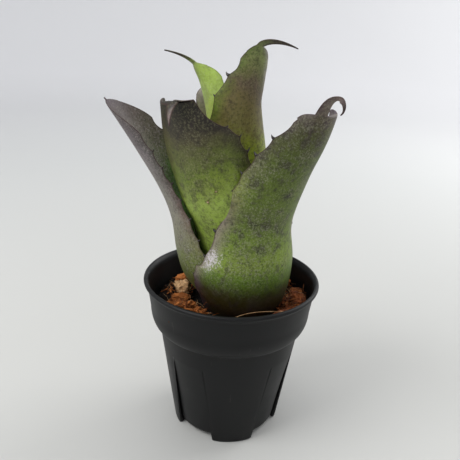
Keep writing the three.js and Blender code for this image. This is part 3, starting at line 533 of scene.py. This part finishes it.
BASE = dict(edge=8, bloom=0.3, bloom_colour="57494a", pigment=0.5, pigment_colour="2c241c", flecks=0.45,
            fleck_colour="1c1d0c", scurf=0.45, scurf_colour="a4a38c", line=0.6,
            line_colour="3a221c", gloss=0.45)
LOOKS = {
    "leaf_front_right": dict(
        BASE, slot="leaf_green", edge=11, scurf=0.4, bloom=0.2, pigment=0.6, pigment_colour="33262c",
        outer=[(0.0, "281c08"), (0.14, "30250a"), (0.2, "35350c"), (0.27, "587414"), (0.33, "7a902e"),
               (0.39, "6c8229"), (0.47, "5a6c22"), (0.57, "5a6c20"), (0.7, "4b581c"), (0.8, "4a4c20"),
               (0.86, "5e5244"), (0.93, "7a6b66"), (1.0, "3a2a2a")],
        left=[(0.0, "38242e"), (0.1, "38242e"), (0.15, "3e2c30"), (0.21, "5a4650"), (0.28, "867c6c"),
              (0.36, "8a8270"), (0.46, "7e7464"), (0.52, "7c7850"), (0.57, "86904a"), (0.64, "62653a"),
              (0.76, "4a4b30"), (0.85, "655a58"), (1.0, "3a2a2a")],
        # The pale middle of this right edge ramp is a painted sheen: light grazing the leaf's right edge,
        # painted into its colour.
        right=[(0.0, "331c10"), (0.2, "352212"), (0.27, "5c5c3c"), (0.34, "999b72"), (0.42, "8f8f6f"),
               (0.55, "8c8f70"), (0.75, "6c6c54"), (0.88, "6f5e58"), (1.0, "3a2a2a")],
        inner=[(0.0, "4c6a28"), (0.4, "6a8a38"), (0.7, "5c5a48"), (0.85, "665862"), (1.0, "3a2a2a")]),
    "leaf_left": dict(
        BASE, slot="leaf_purple", pigment=0.3, scurf=0.55, scurf_colour="a29c94",
        outer=[(0.0, "5a6a28"), (0.2, "636d30"), (0.28, "66722f"), (0.34, "6c7440"), (0.4, "76765a"),
               (0.48, "807c6c"), (0.6, "7a766e"), (0.75, "766e70"), (0.82, "665e60"), (0.9, "5a5056"),
               (1.0, "55484e")],
        right=[(0.0, "5a6a28"), (0.2, "64702c"), (0.27, "6c7838"), (0.34, "6e7040"), (0.4, "6c6a4a"),
               (0.46, "6a5a4c"), (0.55, "5c4a46"), (0.62, "4e423e"), (0.68, "4c4842"), (0.76, "46423e"),
               (0.85, "4c4644"), (1.0, "4e4448")],
        # The bright green of the inner ramp is partly the leaf's own colour and partly painted light: light
        # shining through the leaf into the shaded inside of the urn.
        inner=[(0.0, "5e8c30"), (0.35, "6c9c40"), (0.52, "72a44c"), (0.6, "6a9448"), (0.68, "5c6440"),
               (0.77, "5f5c4a"), (0.88, "60564f"), (1.0, "54464f")]),
    "leaf_back_right": dict(
        BASE, slot="leaf_green",
        outer=[(0.0, "2a220c"), (0.2, "4a5520"), (0.4, "62733a"), (0.75, "505744"), (1.0, "3c2c30")],
        inner=[(0.0, "4c6a28"), (0.6, "667a3c"), (1.0, "4a3c44")]),
    "leaf_back_left": dict(
        BASE, slot="leaf_green",
        outer=[(0.0, "2a220c"), (0.2, "4a5520"), (0.4, "62733a"), (0.75, "4c5040"), (1.0, "3c2c30")],
        inner=[(0.0, "4c6a28"), (0.6, "5e7238"), (1.0, "4a3c44")]),
    "leaf_front_left": dict(
        BASE, slot="leaf_dark", scurf=0.35, scurf_colour="94926e", bloom=0.15,
        outer=[(0.0, "3c4a18"), (0.2, "6a8a1c"), (0.33, "839a38"), (0.42, "869c3c"), (0.5, "8ba144"),
               (0.56, "74862e"), (0.62, "5e6e22"), (0.69, "565c28"), (0.75, "4c482c"), (0.79, "2e281e"),
               (0.86, "1c1812"), (0.93, "221c14"), (0.97, "8a7a78"), (1.0, "6a5860")],
        # The left edge ramp is pale partly from the leaf's own scurf and partly as painted light from the
        # left; the right edge ramp is dark partly from the leaf's own dark pigment and partly as painted
        # shade.
        left=[(0.0, "3c4a18"), (0.27, "a0b44c"), (0.39, "b0c070"), (0.5, "b4c07c"), (0.6, "96987c"),
              (0.7, "8e8478"), (0.8, "6c6258"), (0.88, "342e28"), (0.94, "342e28"), (1.0, "6a5860")],
        right=[(0.0, "3c4a18"), (0.3, "708038"), (0.48, "7c9040"), (0.55, "4c4c2a"), (0.63, "3a3622"),
               (0.7, "3c3826"), (0.76, "342c26"), (0.82, "241e1c"), (0.93, "1e1818"), (1.0, "5a4850")],
        inner=[(0.0, "4c6a28"), (0.5, "66882f"), (0.8, "584a40"), (1.0, "4a3a40")]),
    "leaf_back": dict(
        BASE, slot="leaf_purple", pigment=0.2, flecks=0.25, scurf=0.6, scurf_colour="c0b8ae",
        outer=[(0.0, "4a5a20"), (0.4, "6a7038"), (0.75, "a29a90"), (1.0, "6a5a60")],
        inner=[(0.0, "5a7a28"), (0.6, "a8a48c"), (0.8, "d6ccc4"), (0.92, "dcd0cc"), (1.0, "6a5a60")]),
    "leaf_tall": dict(
        BASE, slot="leaf_green", edge=7, pigment_colour="3c3016", pigment=0.4, bloom=0.0, scurf=0.3,
        scurf_colour="98906a",
        # The bright yellow-green of the outer ramp around half the length is partly the leaf's own colour and
        # partly painted light: light shining through the leaf, painted brighter where it lies in shade.
        outer=[(0.0, "4a6a20"), (0.35, "7da022"), (0.5, "a4bc34"), (0.56, "8e9a30"), (0.62, "76703a"),
               (0.69, "6c6238"), (0.75, "5c4e3c"), (0.8, "6c6e40"), (0.84, "78844a"), (0.88, "565c38"),
               (0.92, "3a342c"), (1.0, "1e1818")],
        left=[(0.0, "4a6a20"), (0.5, "7a722a"), (0.57, "74522a"), (0.63, "423c1e"), (0.67, "5e761c"),
              (0.71, "62701e"), (0.75, "423c1e"), (0.81, "586a28"), (0.88, "424a28"), (1.0, "1e1818")],
        # The pale grey of the right edge ramp is partly the leaf's own scurf and partly a painted highlight
        # along the leaf's edge.
        right=[(0.0, "4a6a20"), (0.45, "9ab438"), (0.6, "8c9a48"), (0.68, "86806c"), (0.76, "8c8480"),
               (0.84, "948f86"), (0.92, "5a5250"), (1.0, "1e1818")],
        inner=[(0.0, "5a7a28"), (0.6, "7a9040"), (0.9, "62544a"), (1.0, "2a2020")]),
    "leaf_inner": dict(
        BASE, slot="leaf_bright", pigment=0.1, flecks=0.15, scurf=0.35, scurf_colour="c4c8a4", line=0.3,
        outer=[(0.0, "6a8a28"), (0.4, "94b444"), (0.7, "b0c25e"), (0.78, "b2cc64"), (0.84, "a4be52"),
               (0.89, "8c9e50"), (0.94, "4a4030"), (1.0, "241c1a")],
        left=[(0.0, "6a8a28"), (0.4, "a8b868"), (0.8, "c2ca9c"), (0.9, "a09a80"), (1.0, "241c1a")],
        inner=[(0.0, "6a8a28"), (0.5, "8cb038"), (0.85, "96a850"), (1.0, "3a2e28")]),
    "leaf_newest": dict(
        BASE, slot="leaf_bright", pigment=0.1, flecks=0.1, scurf=0.3,
        outer=[(0.0, "6a8a28"), (0.6, "9cbc4a"), (1.0, "a8a060")],
        inner=[(0.0, "6a8a28"), (1.0, "9cbc4a")]),
}
# Single marks: length from the foot in mm, share across, radius in mm, colour and strength.
MARKS = {
    "leaf_front_right": [(68, -0.88, 7, "d8d0d4", 0.8), (62, -0.9, 5, "d0c8cc", 0.5),
                         (108, -0.1, 4, "2a2426", 0.7), (88, -0.5, 3, "2a2426", 0.6),
                         (70, -0.3, 2.2, "2a2a24", 0.6), (50, -0.25, 2.2, "2a2a24", 0.6),
                         (40, -0.12, 3, "2a2a24", 0.5), (44, 0.05, 3.5, "30302a", 0.5)],
    "leaf_front_left": [(88, -0.05, 1.8, "4a2a18", 0.9), (88, -0.05, 0.7, "c8a890", 0.9),
                        (93, 0.18, 1.8, "3c2414", 0.9), (93, 0.18, 0.6, "c8a890", 0.8)],
}


def horn():
    """Dry horn of the marginal spines: near-black brown, smooth and slightly glossy."""
    material = bpy.data.materials.new("spine_horn")
    material.use_nodes = True
    tree = material.node_tree
    shader = tree.nodes["Principled BSDF"]
    metres = add(tree, "ShaderNodeTexCoord").outputs["Object"]
    grain = add(tree, "ShaderNodeTexNoise", {"Vector": metres, "Scale": 1 / (3 * MM)}).outputs["Fac"]
    stops = [(0.3, "120d0b"), (0.7, "281a12")]
    colour = add(tree, "ShaderNodeValToRGB", {"Fac": grain}, stops=stops).outputs["Color"]
    tree.links.new(colour, shader.inputs["Base Color"])
    shader.inputs["Roughness"].default_value = 0.4
    return material


def make_leaves():
    """Every leaf with its spines, each leaf in a finish of its own."""
    spine_horn = horn()
    for seed, (name, leaf) in enumerate(LEAVES.items()):
        blade = leaf_piece(name, leaf)
        spots = []
        for length, across, radius, colour, strength in MARKS.get(name, []):
            spots.append((on_leaf(leaf, length, across, 1.0)[0] * MM, radius, colour, strength))
        look = LOOKS[name]
        finish_piece(blade, leaf_tissue(name + "_tissue", look, spots), look["slot"], name)
        if name != "leaf_newest":
            finish_piece(spine_piece(name, leaf, seed), spine_horn, "leaf_dark")


# ---- pot ------------------------------------------------------------------------------------------
POT_HEIGHT = 111
RIM_RADIUS = 60
RIM_BEAD = 3.2
COLLAR_TOP_RADIUS = 57.6
COLLAR_FOOT = 77
COLLAR_ROUND = 14
STEP_IN = 6.2
BODY_TOP_RADIUS = 49
FOOT_RADIUS = 38
FLOOR_LIFT = 3
FLOOR_THICKNESS = 2
PAD_RADIUS = 8
WALL = 1.4
PANEL_INSET = 3
SLIT_TOP = 62
SLIT_ROOF = 5
TONGUES = 4
TONGUE_TURN = -81


def body_radius(z):
    return FOOT_RADIUS + (BODY_TOP_RADIUS - FOOT_RADIUS) * (z - FLOOR_LIFT) / (COLLAR_FOOT - FLOOR_LIFT)


def pot_profile():
    """The pot's section: from the axis out to the foot, up the outside, over the rim and back inside.

    Gives radius, height and how much of the inset a row takes where it crosses a panel.
    """
    pad = [(0.01, 0, 0), (PAD_RADIUS - 0.6, 0, 0), (PAD_RADIUS, 0.6, 0), (PAD_RADIUS, FLOOR_LIFT, 0),
           (body_radius(0) - 8, FLOOR_LIFT, 0), (body_radius(0) - WALL - 3.2, FLOOR_LIFT, 0),
           (body_radius(0) - WALL - 0.4, 0.9, 1), (body_radius(0) - WALL, 0, 1), (body_radius(0) - 0.7, 0, 1),
           (body_radius(0) - 0.15, 0.3, 1)]
    heights = np.linspace(0.9, SLIT_TOP, 46)
    outside = [(body_radius(z), z, 1) for z in heights]
    outside += [(body_radius(z), z, 1) for z in np.linspace(SLIT_TOP + 1, COLLAR_FOOT, 8)]
    for angle in np.linspace(0, math.pi / 2, 13)[1:]:
        outside.append((BODY_TOP_RADIUS + STEP_IN * math.sin(angle),
                        COLLAR_FOOT + COLLAR_ROUND * (1 - math.cos(angle)), 0))
    collar_top = POT_HEIGHT - RIM_BEAD - 0.3
    outside += [(BODY_TOP_RADIUS + STEP_IN + (COLLAR_TOP_RADIUS - BODY_TOP_RADIUS - STEP_IN) * t,
                 COLLAR_FOOT + COLLAR_ROUND + (collar_top - COLLAR_FOOT - COLLAR_ROUND) * t, 0)
                for t in np.linspace(0.15, 1, 7)]
    bead = RIM_BEAD / 2
    rim = [(RIM_RADIUS - bead + bead * math.cos(a), POT_HEIGHT - bead + bead * math.sin(a), 0)
           for a in np.linspace(-0.5 * math.pi, 0.62 * math.pi, 17)]
    inside = [(r - WALL, z, 0) for r, z, _ in reversed(outside) if z > SLIT_TOP + SLIT_ROOF]
    bore = body_radius(0) - PANEL_INSET - WALL
    floor_top = FLOOR_LIFT + FLOOR_THICKNESS
    inside += [(body_radius(SLIT_TOP) - PANEL_INSET - WALL, SLIT_TOP, 0), (bore, floor_top + 1, 0),
               (bore - 1, floor_top, 0), (0.01, floor_top, 0)]
    return np.array(pad + outside + rim + inside)


def pot_piece():
    """The pot as one closed surface: the profile carried round the axis, drawn in where it crosses a panel.

    Tongues of wall run down into the feet and widen upwards. Between them the wall stands back, by more
    towards the foot, and at each tongue's edge it first tucks in behind the tongue, which is the slit.
    """
    profile = pot_profile()
    radius, height, takes = (profile[:, i][:, None] for i in range(3))
    half_arc = np.radians(21.5 + (30 - 21.5) * np.clip(height / SLIT_TOP, 0, 1))
    quarter = math.pi / TONGUES
    tongue_share = np.linspace(-1, 1, 31)[None, :]
    # Columns beside a tongue's edge: share of the wall's inset, turn behind the edge in degrees, slit depth.
    edge = np.array([[0.12, 0.25, 0], [0.55, 0.2, 0], [0.85, -2.5, 1], [1.0, -3.5, 1], [1.0, -2.0, 0],
                     [1.0, 0.9, 0]])
    panel_share = np.linspace(0, 1, 24)[None, 1:-1]

    depth = PANEL_INSET * np.maximum(0, 1 - (height / SLIT_TOP) ** 1.6) * takes
    slit = smoothstep(SLIT_TOP, SLIT_TOP - 22, height) * takes
    turns, insets = [half_arc * tongue_share], [0 * tongue_share + 0 * height]
    insets[0] = insets[0] + takes * 0.35 * np.abs(tongue_share) ** 24 * (depth > 0)
    right_turn = half_arc + np.radians(edge[:, 1])[None, :] * np.clip(depth, 0.02, 1)
    right_inset = depth * edge[:, 0] + slit * edge[:, 2] * 1.6
    turns.append(right_turn)
    insets.append(right_inset)
    start, end = right_turn[:, -1:], 2 * quarter - right_turn[:, -1:]
    turns.append(start + (end - start) * panel_share)
    insets.append(depth + 0 * panel_share)
    turns.append(2 * quarter - right_turn[:, ::-1])
    insets.append(right_inset[:, ::-1])
    turn, inset = np.hstack(turns), np.hstack(insets)

    # A panel's foot ends above the tongues' feet, with a rounded corner.
    on_panel = np.clip(inset / PANEL_INSET, 0, 1) * takes
    raised = np.maximum(height, FLOOR_LIFT * on_panel)
    rounding = np.clip(1 - (raised - FLOOR_LIFT) / 2, 0, 1) ** 2 * on_panel
    drawn = radius - inset - rounding
    points = []
    for k in range(TONGUES):
        angle = math.radians(TONGUE_TURN) + turn + k * 2 * quarter
        points.append(np.stack([drawn * np.cos(angle), drawn * np.sin(angle), raised + 0 * angle], -1))
    return grid_object("pot_moulding", np.hstack(points) * MM)


def pot_plastic():
    """Injection-moulded black polypropylene: satin, with faint scuffs and a little pale dust."""
    material = bpy.data.materials.new("moulded_polypropylene")
    material.use_nodes = True
    tree = material.node_tree
    shader = tree.nodes["Principled BSDF"]
    metres = add(tree, "ShaderNodeTexCoord").outputs["Object"]
    sockets = {"Vector": metres, "Scale": 1 / (0.8 * MM), "Detail": 2}
    grain = add(tree, "ShaderNodeTexNoise", sockets).outputs["Fac"]
    sockets = {"Vector": metres, "Scale": 1 / (30 * MM), "Detail": 4}
    haze = add(tree, "ShaderNodeTexNoise", sockets).outputs["Fac"]
    stretched = add(tree, "ShaderNodeMapping", {"Vector": metres, "Scale": (1, 1, 0.12)}).outputs["Vector"]
    sockets = {"Vector": stretched, "Scale": 1 / (2 * MM), "Detail": 3}
    scuff = add(tree, "ShaderNodeTexNoise", sockets).outputs["Fac"]
    stops = [(0.35, "0c0c0d"), (0.65, "121313")]
    colour = add(tree, "ShaderNodeValToRGB", {"Fac": haze}, stops=stops).outputs["Color"]
    sockets = {"Value": scuff, "From Min": 0.68, "From Max": 0.8, "To Max": 0.25}
    mark = add(tree, "ShaderNodeMapRange", sockets).outputs["Result"]
    dusty = add(tree, "ShaderNodeMix", {0: mark, 6: colour, 7: linear("55554f")}, data_type="RGBA")
    tree.links.new(dusty.outputs[2], shader.inputs["Base Color"])
    sockets = {"Value": haze, "From Min": 0.3, "From Max": 0.7, "To Min": 0.42, "To Max": 0.55}
    rough = add(tree, "ShaderNodeMapRange", sockets)
    tree.links.new(rough.outputs["Result"], shader.inputs["Roughness"])
    bump = add(tree, "ShaderNodeBump", {"Height": grain, "Strength": 0.12, "Distance": 0.1 * MM})
    tree.links.new(bump.outputs["Normal"], shader.inputs["Normal"])
    shader.inputs["IOR"].default_value = 1.33
    return material


# ---- potting mix and husk ---------------------------------------------------------------------------

def fibrous(name, dark, light, grain):
    """Coconut husk: short parallel fibres in mixed browns, dry and matt; grain is their spacing in mm.

    The attribute shade, from 0 to 1, makes one shred or lump darker or lighter than the next.
    """
    material = bpy.data.materials.new(name)
    material.use_nodes = True
    tree = material.node_tree
    shader = tree.nodes["Principled BSDF"]
    metres = add(tree, "ShaderNodeTexCoord").outputs["Object"]
    shade = add(tree, "ShaderNodeAttribute", attribute_name="shade").outputs["Fac"]
    sockets = {"Vector": metres, "Scale": (0.25, 1, 1), "Rotation": (0.4, 0.3, 0.8)}
    along = add(tree, "ShaderNodeMapping", sockets).outputs["Vector"]
    sockets = {"Vector": along, "Scale": 1 / (grain * MM), "Detail": 4, "Roughness": 0.75}
    fibre = add(tree, "ShaderNodeTexNoise", sockets).outputs["Fac"]
    sockets = {"Vector": metres, "Scale": 1 / (5 * MM), "Detail": 2}
    broad = add(tree, "ShaderNodeTexNoise", sockets).outputs["Fac"]
    both = add(tree, "ShaderNodeMath", {0: fibre, 1: broad}, operation="ADD").outputs["Value"]
    sockets = {0: shade, 1: 0.5, 2: both}
    shaded = add(tree, "ShaderNodeMath", sockets, operation="MULTIPLY_ADD").outputs["Value"]
    sockets = {"Value": shaded, "From Min": 1.0, "From Max": 1.5}
    share = add(tree, "ShaderNodeMapRange", sockets).outputs["Result"]
    stops = [(0.0, dark), (1.0, light)]
    colour = add(tree, "ShaderNodeValToRGB", {"Fac": share}, stops=stops).outputs["Color"]
    tree.links.new(colour, shader.inputs["Base Color"])
    bump = add(tree, "ShaderNodeBump", {"Height": fibre, "Strength": 1.0, "Distance": 0.5 * MM})
    tree.links.new(bump.outputs["Normal"], shader.inputs["Normal"])
    shader.inputs["Roughness"].default_value = 0.95
    shader.inputs["IOR"].default_value = 1.3
    return material


def mix_piece():
    """The potting mix: a body of revolution to the pot's floor, whose top is heaved and crumbly."""
    side = [(0.01, 5.6), (32.5, 5.6), (41, 60), (45, 68), (48, 79), (52, 90)]
    top = [(r, 91.5) for r in np.linspace(52, 0.01, 70)[1:]]
    profile = np.array(side + top)
    around = TURN * np.arange(200) / 200
    radius, height = profile[:, :1], profile[:, 1:]
    points = np.stack([radius * np.cos(around), radius * np.sin(around), height + 0 * around], -1)
    crumbs = rough_noise(points, 6, 11, 4) * 1.6
    loose = smoothstep(88, 91, points[..., 2])
    points[..., 2] += crumbs * loose
    return grid_object("potting_mix_body", points * MM)


def lump(centre, size, turn, tilt, seed, rows=40, count=56):
    """A torn lump of husk: a blunt block, lumpy at a third of its size and furrowed along its length."""
    up = np.linspace(-1, 1, rows)[:, None] * math.pi / 2 * 0.999
    around = (TURN * np.arange(count) / count)[None, :]
    ball = np.stack([np.cos(up) * np.cos(around), np.cos(up) * np.sin(around), np.sin(up) + 0 * around], -1)
    block = np.sign(ball) * np.abs(ball) ** 0.75
    heave = 1 + 0.22 * rough_noise(ball + seed, 0.7, seed, 3)
    furrow = 0.13 * value_noise(block * [0.6, 6, 6] + seed, 0.8, seed + 9)
    points = block * (heave + furrow)[..., None] * np.array(size) / 2
    c, s = math.cos(math.radians(tilt)), math.sin(math.radians(tilt))
    about_y = np.array([[c, 0, s], [0, 1, 0], [-s, 0, c]])
    c, s = math.cos(math.radians(turn)), math.sin(math.radians(turn))
    about_z = np.array([[c, -s, 0], [s, c, 0], [0, 0, 1]])
    return points @ about_y.T @ about_z.T + centre


# Length, width, thickness, turn and tilt of each chip, and its shade.
CHIPS = [(17, 11, 9, 100, 12, "pale"), (12, 9, 6, 30, 8, "husk"), (16, 10, 7, 120, -6, "husk"),
         (14, 8, 5, 150, 5, "husk"), (12, 7, 4, 175, 4, "husk"), (15, 7, 4, 12, -4, "pale"),
         (15, 11, 8, 50, 10, "red"), (17, 11, 10, 95, -12, "red"), (13, 9, 7, 80, 6, "husk"),
         (15, 10, 6, 120, 8, "husk"), (16, 10, 7, 160, -8, "husk"), (13, 9, 6, 10, 6, "pale"),
         (15, 10, 6, 35, -6, "husk"), (13, 9, 7, 60, 8, "husk")]


def fibre_tufts(centres, reach, per_tuft, seed):
    """Loose fibres: thin tapering tubes that start in a lump and arc away from it in any direction."""
    rng = np.random.default_rng(seed)
    start = np.repeat(centres, per_tuft, 0) + rng.normal(0, 0.35, (len(centres) * per_tuft, 3)) * reach
    heading = rng.uniform(0, TURN, len(start))
    rise = rng.uniform(-0.1, 0.8, len(start))
    way = unit(np.stack([np.cos(heading), np.sin(heading), rise], -1))
    sag = unit(np.cross(way, rng.normal(0, 1, way.shape)))
    length = rng.uniform(0.5, 1.3, len(start)) * reach
    t = np.linspace(0, 1, 6)[None, :, None]
    path = start[:, None] + way[:, None] * t * length[:, None, None]
    path = path + (sag[:, None] * 0.35 - np.array([0, 0, 0.35])) * t ** 2 * length[:, None, None]
    path = in_ring(path.reshape(-1, 3)).reshape(path.shape)
    thick = rng.uniform(0.09, 0.18, len(start))[:, None, None, None] * (1.05 - 0.75 * t[..., None])
    around = (TURN * np.arange(4) / 4)[None, None, :, None]
    second = np.cross(way, sag)
    ring = np.cos(around) * sag[:, None, None] + np.sin(around) * second[:, None, None]
    return path[:, :, None] + ring * thick


def shreds(centres, seed, size=(3.0, 8.0)):
    """Torn bits of husk at the given places, lying any way round; the rows of each are one closed tube."""
    rng = np.random.default_rng(seed)
    made = []
    for i, centre in enumerate(centres):
        length = rng.uniform(*size)
        shape = np.array([length, length * rng.uniform(0.15, 0.4), length * rng.uniform(0.1, 0.22)])
        made.append(lump(centre, shape, rng.uniform(0, 360), rng.normal(0, 22), seed + i, 6, 8))
    return np.array(made)


HUSK_INNER = 33           # nearest that loose husk comes to the plant's axis
HUSK_OUTER = 52           # furthest that it reaches from the pot's axis


def in_ring(points):
    """The points, moved out of the urn and in from the pot's wall."""
    flat = points[:, :2] - [PLANT_X, 0]
    out = np.linalg.norm(flat, axis=1, keepdims=True)
    flat = flat / out * np.maximum(out, HUSK_INNER) + [PLANT_X, 0]
    reach = np.linalg.norm(flat, axis=1, keepdims=True)
    flat = flat / reach * np.minimum(reach, HUSK_OUTER)
    return np.column_stack([flat, points[:, 2]])


def heap(centre, radius, height, count, seed):
    """Places in a heap of the given radius and height on the mix: most of them near its surface."""
    rng = np.random.default_rng(seed)
    out, angle = radius * np.sqrt(rng.uniform(0, 1, count)), rng.uniform(0, TURN, count)
    rise = height * (1 - (out / radius) ** 2) * np.sqrt(rng.uniform(0, 1, count))
    return in_ring(np.column_stack([centre[0] + out * np.cos(angle), centre[1] + out * np.sin(angle),
                                    MIX_LEVEL + 0.5 + rise]))


def husk_object(name, points, material, slot, seed, *replaced):
    """An object of husk lumps or fibres, each with a shade of its own."""
    tubes = points if points.ndim == 4 else points[None]
    made = grid_object(name, tubes * MM)
    shade = np.random.default_rng(seed).uniform(0, 1, len(tubes))
    write_attribute(made, "shade", np.repeat(shade, tubes.shape[1] * tubes.shape[2]))
    return finish_piece(made, material, slot, *replaced)


def make_filling():
    """Mix, chips, heaps of torn husk against the wall, loose fibres and one long dry strand."""
    mixes = {"husk": fibrous("husk_fibre", "4a2410", "b8703a", 0.8),
             "pale": fibrous("bleached_husk_fibre", "7a5634", "cfa87c", 0.8),
             "red": fibrous("fresh_husk_fibre", "2c140c", "8a4c2a", 0.8),
             "mix": fibrous("coir_potting_mix", "0c0806", "3a2416", 1.2)}
    finish_piece(mix_piece(), mixes["mix"], "potting_mix", "potting_mix")
    centres = []
    for i, (length, width, thick, turn, tilt, shade) in enumerate(CHIPS):
        low, high = (np.array(corner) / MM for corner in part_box(f"husk_chip_{i + 1}"))
        centres.append((low + high) / 2)
        points = lump(centres[-1], (length, width, thick), turn, tilt, 20 + i)
        slot = "husk_pale" if shade == "pale" else "husk"
        husk_object(f"husk_chip_{i + 1}_torn", points, mixes[shade], slot, i, f"husk_chip_{i + 1}")
    centres = np.array(centres)

    left_heap = heap((-31, -28), 17, 9, 320, 31)
    right_heap = heap((43, -13), 12, 11, 190, 32)
    bed = np.vstack([heap((0, 0), 53, 1.5, 420, 33), heap((-36, 12), 10, 5, 60, 34),
                     heap((20, 42), 16, 5, 90, 35), heap((-18, 42), 14, 5, 70, 36)])
    husk_object("husk_heap_left", shreds(left_heap, 100), mixes["husk"], "husk", 41)
    husk_object("husk_heap_right", shreds(right_heap, 400), mixes["red"], "husk", 42)
    husk_object("husk_bed", shreds(bed[::2], 700, (2.0, 6.0)), mixes["husk"], "husk", 43)
    husk_object("mix_bed", shreds(bed[1::2], 1100, (2.0, 6.0)), mixes["mix"], "potting_mix", 44)
    husk_object("husk_fibres", fibre_tufts(np.vstack([centres, left_heap[::6], right_heap[::6]]), 7, 7, 3),
                mixes["husk"], "husk", 45)
    husk_object("pale_fibres", fibre_tufts(np.vstack([right_heap[::5], left_heap[::9], bed[::6]]), 7, 2, 4),
                mixes["pale"], "husk_pale", 46)

    # One long dry strand lies across the front, from under the rim to the right-hand heap.
    t = np.linspace(0, 1, 40)[:, None]
    path = np.hstack([3 + 34 * t, -41 + 12 * t ** 1.3, 100.5 + 3 * np.sin(math.pi * t ** 0.7)])
    around = (TURN * np.arange(6) / 6)[None, :, None]
    ring = np.cos(around) * np.array([0, 0, 1]) + np.sin(around) * np.array([0.4, 0.9, 0])
    strand = path[:, None] + 0.25 * ring
    husk_object("dry_strand", strand, mixes["pale"], "husk_pale", 47)


# ---- stem and roots -----------------------------------------------------------------------------------

def finish_hidden():
    """The stock and roots keep their CAD shape, under a dry woody bark."""
    bark = fibrous("dry_root_bark", "4a3c2a", "9a8466", 1.0)
    for name in ("stem", "root_1", "root_2", "root_3", "root_4"):
        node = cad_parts[name]
        node.data.materials.clear()
        node.data.materials.append(bark)


bpy.context.scene.view_settings.view_transform = "Standard"
make_camera()
make_stage()
make_leaves()
finish_piece(pot_piece(), pot_plastic(), "pot_plastic", "pot")
make_filling()
finish_hidden()
